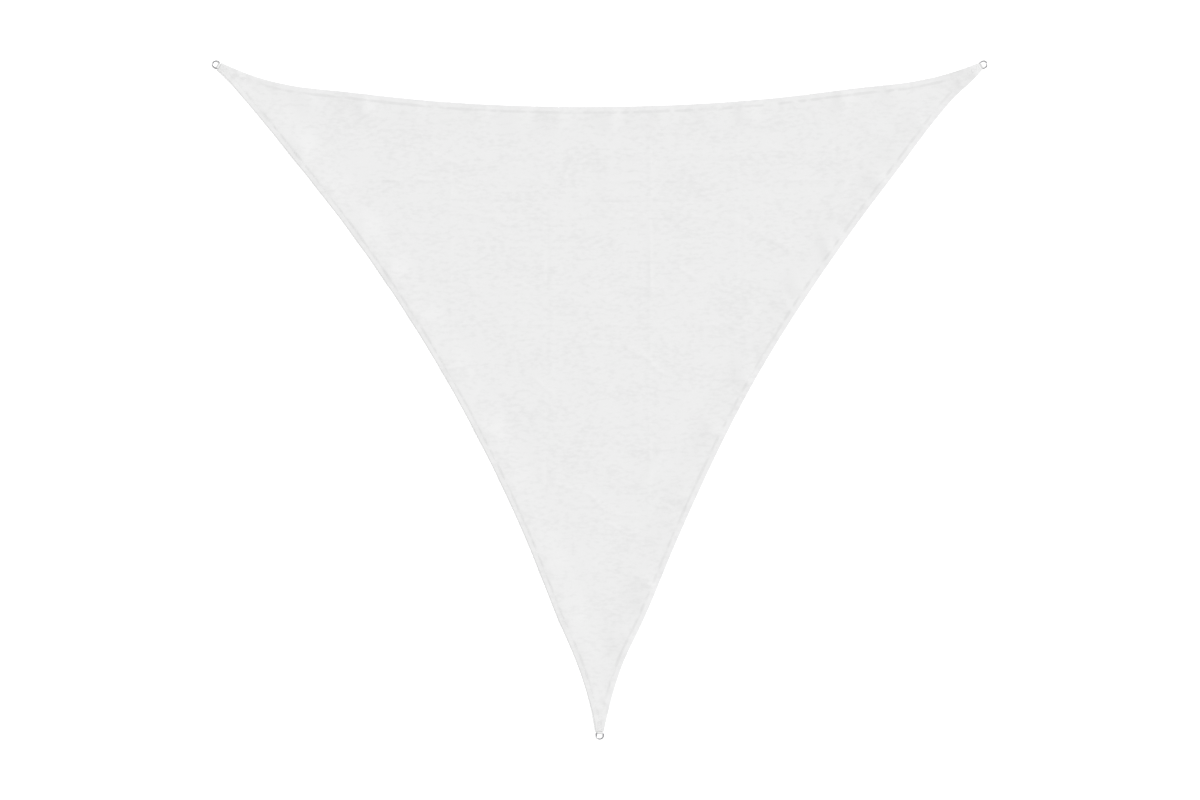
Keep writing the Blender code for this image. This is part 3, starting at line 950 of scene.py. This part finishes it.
def pick(made, kind, test):
    """In edit mode, selects the vertices, edges or faces whose middle passes the test."""
    bpy.ops.mesh.select_mode(type={"verts": "VERT", "edges": "EDGE", "faces": "FACE"}[kind])
    bpy.ops.mesh.select_all(action="DESELECT")
    bm = bmesh.from_edit_mesh(made.data)
    for part in getattr(bm, kind):
        ends = [part.co] if kind == "verts" else [v.co for v in part.verts]
        part.select = test(sum(ends, Vector()) / len(ends), ends)
    bm.select_flush_mode()
    bmesh.update_edit_mesh(made.data)


# %% One stitch
THREAD = 0.8 * MM  # heavy outdoor thread
STITCH_LENGTH = 4.2 * MM
STITCH_PITCH = 4.8 * MM
STITCH_DIP = 0.35 * MM
STITCH_END = 0.45  # of its length, from its middle to where it dips

only(floor)
bpy.ops.mesh.primitive_cylinder_add(
    vertices=6, radius=THREAD / 2, depth=STITCH_LENGTH,
    location=(STITCH_LENGTH / 2, 0, 0), rotation=(0, math.pi / 2, 0), end_fill_type="NGON",
)
stitch = bpy.context.object
stitch.name = "stitch"
bpy.ops.object.transform_apply(location=True, rotation=True, scale=True)
bpy.ops.object.mode_set(mode="EDIT")
pick(stitch, "edges", lambda middle, ends: abs(ends[0].x - ends[1].x) > STITCH_LENGTH / 2)
bpy.ops.mesh.subdivide(number_cuts=2)
pick(stitch, "verts", lambda middle, ends: abs(middle.x / STITCH_LENGTH - 0.5) > STITCH_END)
bpy.ops.transform.translate(value=(0, 0, -STITCH_DIP))
bpy.ops.transform.resize(value=(1, 0.6, 0.6))
bpy.ops.object.mode_set(mode="OBJECT")
print("a stitch has", len(stitch.data.polygons), "faces and is", STITCH_LENGTH / MM, "mm long")


# %% Sewing along a line
BEAD_SITS = 0.3 * THREAD  # the middle of a bead above the cloth
GUIDE_STEP = 6 * MM


def sew(name, lines):
    """Lays rows of stitches along lines of points and joins them to one piece."""
    rows = []
    for line in lines:
        guide = bpy.data.curves.new("guide", "CURVE")
        guide.dimensions = "3D"
        guide.twist_mode = "Z_UP"
        spline = guide.splines.new("POLY")
        spline.points.add(len(line) - 1)
        for point, (x, y, z) in zip(spline.points, line):
            point.co = (x, y, z, 1)
        guide_object = bpy.data.objects.new("guide", guide)
        bpy.context.scene.collection.objects.link(guide_object)
        only(stitch)
        bpy.ops.object.duplicate()
        row = bpy.context.object
        array = row.modifiers.new("row", "ARRAY")
        array.use_relative_offset = False
        array.use_constant_offset = True
        array.count = max(1, round(spline.calc_length() / STITCH_PITCH))
        array.constant_offset_displace = (spline.calc_length() / array.count, 0, 0)
        lay = row.modifiers.new("lay", "CURVE")
        lay.object = guide_object
        for modifier in ("row", "lay"):
            bpy.ops.object.modifier_apply(modifier=modifier)
        bpy.data.objects.remove(guide_object)
        rows.append(row)
    bpy.ops.object.select_all(action="DESELECT")
    for row in rows:
        row.select_set(True)
    bpy.context.view_layer.objects.active = rows[0]
    if len(rows) > 1:
        bpy.ops.object.join()
    bpy.ops.object.shade_smooth()
    rows[0].name = name
    return rows[0]


def on_cloth(points):
    """These points of the plan, where a bead of thread lies on the cloth."""
    return np.column_stack((points, sheet_top(points) + BEAD_SITS))


print("a metre of seam takes", round(1 / STITCH_PITCH), "stitches")

# %% The three hem seams
threads = []
for side, edge in EDGES.items():
    seam = row_points(edge, SEAM_DEPTHS[side], edge.stations(GUIDE_STEP))
    threads.append(sew("hem_thread_" + side, [on_cloth(seam)]))
    print(threads[-1].name, "has", len(threads[-1].data.polygons), "faces")

# %% The box and cross over each webbing loop
shares = np.linspace(0, 1, 16)
for ring in RINGS:
    lines = [on_cloth(start + np.outer(shares, end - start)) for start, end in box_lines(ring)]
    threads.append(sew("corner_thread_" + ring, lines))
bpy.data.objects.remove(stitch)
print("sewn pieces:", [made.name for made in threads])

# %% [markdown]
# ## The webbing loops
#
# Each loop is a strip of 25 mm polyester webbing that comes out from under the
# cloth, turns round the straight bar of the ring and goes back. Webbing
# is woven with ribs that run along it, so the piece starts as a straight line across
# the strip, with every second point raised. That line is then drawn out along the
# strip, spun round the bar and drawn back, and a Solidify modifier makes it thick.

# %% Sizes of a loop, the same as in the solid
WEB_WIDTH = 25.0 * MM
WEB_TAIL = 74.0 * MM  # from the ring's middle to both ends of the strip
EDGE_ROUND = 0.35 * MM
RIBS = 10
RIB_HEIGHT = 0.16 * MM
RING_DEPTH = 28.0 * MM  # from the middle of the bar's wire to that of the round end
RING_REST = 3.07 * MM  # the middle of the round end's wire above the floor
LOOP_RADIUS = WIRE_RADIUS + GAP + 0.1 * MM + WEB_THICK / 2
BAR_BACK = RING_DEPTH - RING_BEND
BAR_HEIGHT = WEB_THICK / 2 + LOOP_RADIUS
RING_TILT = math.asin((BAR_HEIGHT - RING_REST) / RING_DEPTH)
LOOP_LEAVES = math.radians(110)  # round the bar, where the strip leaves it again
UPPER_LAYER = WEB_THICK / 2 + WEB_THICK + GAP
leave_x = -BAR_BACK + LOOP_RADIUS * math.cos(LOOP_LEAVES)
leave_z = BAR_HEIGHT + LOOP_RADIUS * math.sin(LOOP_LEAVES)
join_x = leave_x - (leave_z - UPPER_LAYER) / math.tan(LOOP_LEAVES - math.pi / 2)
print("the two layers of a loop meet", round(-join_x / MM, 1), "mm behind the ring's middle")


# %% Shape one loop
def extrude_to(step, cuts=1):
    """Draws the selected line out by this step, in several equal parts."""
    for _ in range(cuts):
        bpy.ops.mesh.extrude_region_move(TRANSFORM_OT_translate={"value": [v / cuts for v in step]})


def model_loop():
    """A loop in its own frame: X points out of the sail, the ring's middle is over the origin."""
    only(floor)
    start = (-WEB_TAIL - WEB_WIDTH / 2, 0, WEB_THICK / 2)
    bpy.ops.mesh.primitive_plane_add(size=WEB_WIDTH, location=start)
    made = bpy.context.object
    bpy.ops.object.transform_apply(location=True, rotation=True, scale=True)
    bpy.ops.object.mode_set(mode="EDIT")
    pick(made, "verts", lambda middle, ends: middle.x < -WEB_TAIL - 1 * MM)
    bpy.ops.mesh.delete(type="VERT")
    bpy.ops.mesh.select_all(action="SELECT")
    bpy.ops.mesh.subdivide(number_cuts=4 * RIBS - 1)
    rib = WEB_WIDTH / RIBS
    pick(made, "verts", lambda middle, ends: abs((middle.y / rib) % 1 - 0.5) < 0.3)
    bpy.ops.transform.translate(value=(0, 0, RIB_HEIGHT))
    bpy.ops.mesh.select_mode(type="EDGE")
    bpy.ops.mesh.select_all(action="SELECT")
    extrude_to((WEB_TAIL - BAR_BACK, 0, 0), 12)
    bar, turn = (-BAR_BACK, 0, BAR_HEIGHT), LOOP_LEAVES + math.pi / 2
    bpy.ops.mesh.spin(steps=18, angle=turn, center=bar, axis=(0, 1, 0))
    extrude_to((join_x - leave_x, 0, UPPER_LAYER - leave_z), 2)
    extrude_to((-WEB_TAIL - join_x, 0, 0), 10)
    bpy.ops.mesh.select_all(action="SELECT")
    bpy.ops.mesh.remove_doubles(threshold=0.01 * MM)
    bpy.ops.mesh.normals_make_consistent(inside=False)
    bpy.ops.object.mode_set(mode="OBJECT")
    return made


def strip_distance(x, z):
    """How far along the strip a point of its middle line lies, from the end of its lower layer."""
    if x < -BAR_BACK and z < WEB_THICK + GAP / 2:
        return x + WEB_TAIL
    angle = math.atan2(z - BAR_HEIGHT, x + BAR_BACK)
    if x < -BAR_BACK and angle < 0:
        angle += 2 * math.pi
    past = max(0.0, leave_x - x) if angle > LOOP_LEAVES else 0.0
    return WEB_TAIL - BAR_BACK + LOOP_RADIUS * (min(angle, LOOP_LEAVES) + math.pi / 2) + past


def measure_piece(name, made):
    """Prints the lowest and highest corner of a piece in mm, and how many faces it has."""
    corners = np.array([v.co for v in made.data.vertices]) / MM
    print(name, "from", corners.min(axis=0).round(2), "to", corners.max(axis=0).round(2))
    print(name, "has", len(made.data.polygons), "faces")


loop_model = model_loop()
web_map = loop_model.data.uv_layers.new(name="along_strip")
for loop in loop_model.data.loops:
    x, y, z = loop_model.data.vertices[loop.vertex_index].co
    web_map.data[loop.index].uv = (y, strip_distance(x, z))
thicken = loop_model.modifiers.new("thick", "SOLIDIFY")
thicken.thickness = WEB_THICK
thicken.offset = 0
bevel = loop_model.modifiers.new("soft_edges", "BEVEL")
bevel.width = EDGE_ROUND
bevel.segments = 2
bevel.limit_method = "ANGLE"
bevel.angle_limit = math.radians(50)
only(loop_model)
for modifier in ("thick", "soft_edges"):
    bpy.ops.object.modifier_apply(modifier=modifier)
bpy.ops.object.shade_smooth_by_angle(angle=math.radians(40))
measure_piece("loop", loop_model)


# %% Put a copy at each corner
def corner_frame(ring):
    """Places a piece at a corner: its +X points out of the sail, along the middle line."""
    out = -inward(ring)
    turned = Matrix.Rotation(math.atan2(out[1], out[0]), 4, "Z")
    return Matrix.Translation((*RINGS[ring], 0)) @ turned


def copy_to(model, ring, name):
    """A copy with a mesh of its own, whose place is in that mesh."""
    made = bpy.data.objects.new(name, model.data.copy())
    bpy.context.scene.collection.objects.link(made)
    made.data.transform(corner_frame(ring))
    made.data.update()
    return made


loops = {ring: copy_to(loop_model, ring, "webbing_" + ring) for ring in RINGS}
bpy.data.objects.remove(loop_model)
print("loops:", [made.name for made in loops.values()])

# %% [markdown]
# ## The D-rings
#
# A D-ring is a length of 6 mm stainless wire, bent to a half circle at one end and to
# two tight corners at the other, and welded shut in the middle of its straight bar.
# The model is bent in the same order: a circle of the wire's section is spun through
# the half circle, drawn out, spun through a corner, drawn out along the bar and so on.

# %% Bend one ring
RING_CORNER = 3.5 * MM
back = RING_CORNER - BAR_BACK  # X of both tight corners' centres
side_y = RING_BEND - RING_CORNER


def model_ring():
    """The wire of a ring, flat on the origin, with its round end towards +X."""
    only(floor)
    bpy.ops.mesh.primitive_circle_add(vertices=24, radius=WIRE_RADIUS, rotation=(0, math.pi / 2, 0))
    made = bpy.context.object
    bpy.ops.object.transform_apply(location=True, rotation=True, scale=True)
    bpy.ops.object.mode_set(mode="EDIT")
    bpy.ops.mesh.select_mode(type="EDGE")
    bpy.ops.mesh.select_all(action="SELECT")
    bpy.ops.transform.translate(value=(0, -RING_BEND, 0))
    bpy.ops.mesh.spin(steps=40, angle=-math.pi, center=(0, 0, 0), axis=(0, 0, 1))
    extrude_to((back, 0, 0), 3)
    bpy.ops.mesh.spin(steps=12, angle=-math.pi / 2, center=(back, side_y, 0), axis=(0, 0, 1))
    extrude_to((0, -2 * side_y, 0), 6)
    bpy.ops.mesh.spin(steps=12, angle=-math.pi / 2, center=(back, -side_y, 0), axis=(0, 0, 1))
    extrude_to((-back, 0, 0), 3)
    bpy.ops.mesh.select_all(action="SELECT")
    bpy.ops.mesh.remove_doubles(threshold=0.02 * MM)
    bpy.ops.mesh.normals_make_consistent(inside=False)
    bpy.ops.object.mode_set(mode="OBJECT")
    bpy.ops.object.shade_smooth()
    return made


ring_model = model_ring()
measure_piece("ring", ring_model)

# %% Rest it in the loops
lean = Matrix.Translation((RING_BEND, 0, RING_REST)) @ Matrix.Rotation(RING_TILT, 4, "Y")
ring_model.data.transform(lean @ Matrix.Translation((-RING_BEND, 0, 0)))
rings = {ring: copy_to(ring_model, ring, "wire_ring_" + ring) for ring in RINGS}
bpy.data.objects.remove(ring_model)
print("a ring leans by", round(math.degrees(RING_TILT), 1), "degrees, up to its loop")

# %% [markdown]
# ## Materials
#
# White on white shows form only by small changes of shade, so each surface differs in
# how it breaks up the light: open knit, ribbed webbing, glossy thread, bright wire.

# %% Knitted shade cloth
WALE_PITCH = 2.5 * MM  # from one column of loops to the next
COURSE_PITCH = 1.8 * MM  # from one loop of a column to the next
# Both are somewhat coarser than in real light shade cloth, so that a close view shows them.
SPECK_SIZE = 17 * MM
BROAD_SIZE = 130 * MM

cloth, tree, shader = new_material("knitted_polyethylene_shade_cloth", "#E6E6E6", 0.75)
# Warp knit of flat tape and round thread: columns of small loops that run up the sail, with a
# dull shine. From afar they blur, and the colour keeps darker specks over a broad uneven tone.
place = add_node(tree, "TexCoord")
wider = add_node(tree, "Mapping", {"Scale": (0.5, 1.0, 1.0)}, {"Vector": place.outputs["Object"]})
spread = {"Vector": wider.outputs["Vector"]}
fine = {"Scale": 1 / SPECK_SIZE, "Detail": 3.0, "Roughness": 0.6}
specks = add_node(tree, "TexNoise", fine, spread)
broad = add_node(tree, "TexNoise", {"Scale": 1 / BROAD_SIZE, "Detail": 2.0}, spread)
both = add_node(
    tree, "Math", {1: 0.45}, {0: broad.outputs["Fac"], 2: specks.outputs["Fac"]},
    operation="MULTIPLY_ADD",
)
limits = {"From Min": 0.5, "From Max": 0.76, "To Min": 0.0, "To Max": 1.0}
shade = add_node(tree, "MapRange", limits, {"Value": both.outputs[0]})
white = {"Color1": colour("#E1E1E1"), "Color2": colour("#E7E7E7")}
tones = add_node(tree, "MixRGB", white, {"Fac": shade.outputs["Result"]})
# Painted shade: the colour darkens in seam grooves and needle holes, creases and corner puckers.
shade_share = add_node(tree, "Attribute", attribute_name="painted_line_shade")
shaded_lines = add_node(
    tree, "MixRGB", {"Color2": colour("#DEDEDE")},
    {"Fac": shade_share.outputs["Fac"], "Color1": tones.outputs["Color"]},
)
tree.links.new(shaded_lines.outputs["Color"], shader.inputs["Base Color"])
wales, courses = (
    add_node(
        tree, "TexWave", {"Scale": math.pi / (10 * pitch)}, {"Vector": place.outputs["Object"]},
        wave_type="BANDS", bands_direction=way,
    )
    for way, pitch in (("X", WALE_PITCH), ("Y", COURSE_PITCH))
)
crossing = {0: wales.outputs["Fac"], 1: courses.outputs["Fac"]}
stitches = add_node(tree, "Math", links=crossing, operation="MULTIPLY")
depth = {"Strength": 0.3, "Distance": 0.4 * MM}
knit_bump = add_node(tree, "Bump", depth, {"Height": stitches.outputs[0]})
tree.links.new(knit_bump.outputs["Normal"], shader.inputs["Normal"])
shader.inputs["Specular IOR Level"].default_value = 0.15
shade_cloth.data.materials.append(cloth)

# %% Polyester webbing
WEAVE_PITCH = 1.6 * MM  # between ridges

webbing, tree, shader = new_material("woven_polyester_webbing", "#E2E2E2", 0.6)
# Tightly woven multifilament: fine ridges across the strip catch the light, with a silky sheen.
strip = add_node(tree, "UVMap", uv_map="along_strip")
ridges = add_node(
    tree, "TexWave", {"Scale": math.pi / (10 * WEAVE_PITCH), "Distortion": 0.3},
    {"Vector": strip.outputs["UV"]}, wave_type="BANDS", bands_direction="Y",
)
depth = {"Strength": 0.3, "Distance": 0.3 * MM}
weave_bump = add_node(tree, "Bump", depth, {"Height": ridges.outputs["Fac"]})
tree.links.new(weave_bump.outputs["Normal"], shader.inputs["Normal"])
for made in loops.values():
    made.data.materials.clear()
    made.data.materials.append(webbing)

# %% Sewing thread
thread, tree, shader = new_material("bonded_polyester_thread", "#EAEAEA", 0.45)
# Bonded thread has a thin smooth coat, so each bead keeps a small soft highlight.
for made in threads:
    made.data.materials.clear()
    made.data.materials.append(thread)

# %% Stainless steel wire
steel, tree, shader = new_material("polished_stainless_wire", "#B8B8BA", 0.22, metallic=1.0)
# Drawn and tumbled wire: bright, but finely scuffed, so it mirrors the studio as soft light
# and dark bands.
place = add_node(tree, "TexCoord")
scuffs = add_node(
    tree, "TexNoise", {"Scale": 900.0, "Detail": 3.0}, {"Vector": place.outputs["Object"]},
)
limits = {"From Min": 0.3, "From Max": 0.7, "To Min": 0.16, "To Max": 0.3}
gloss = add_node(tree, "MapRange", limits, {"Value": scuffs.outputs["Fac"]})
tree.links.new(gloss.outputs["Result"], shader.inputs["Roughness"])
for made in rings.values():
    made.data.materials.append(steel)
print("materials:", [m.name for m in bpy.data.materials if m.users])

# %% [markdown]
# ## What each piece stands for
#
# Every piece rides on the one rigid body of the model. The cloth, the loops and the
# rings take the place of their plain solids, and the thread is extra.

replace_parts(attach(shade_cloth, "root"), "sail_cloth")
for ring in RINGS:
    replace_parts(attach(loops[ring], "root"), "corner_loop_" + ring)
    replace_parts(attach(rings[ring], "root"), "d_ring_" + ring)
for made in threads:
    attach(made, "root")
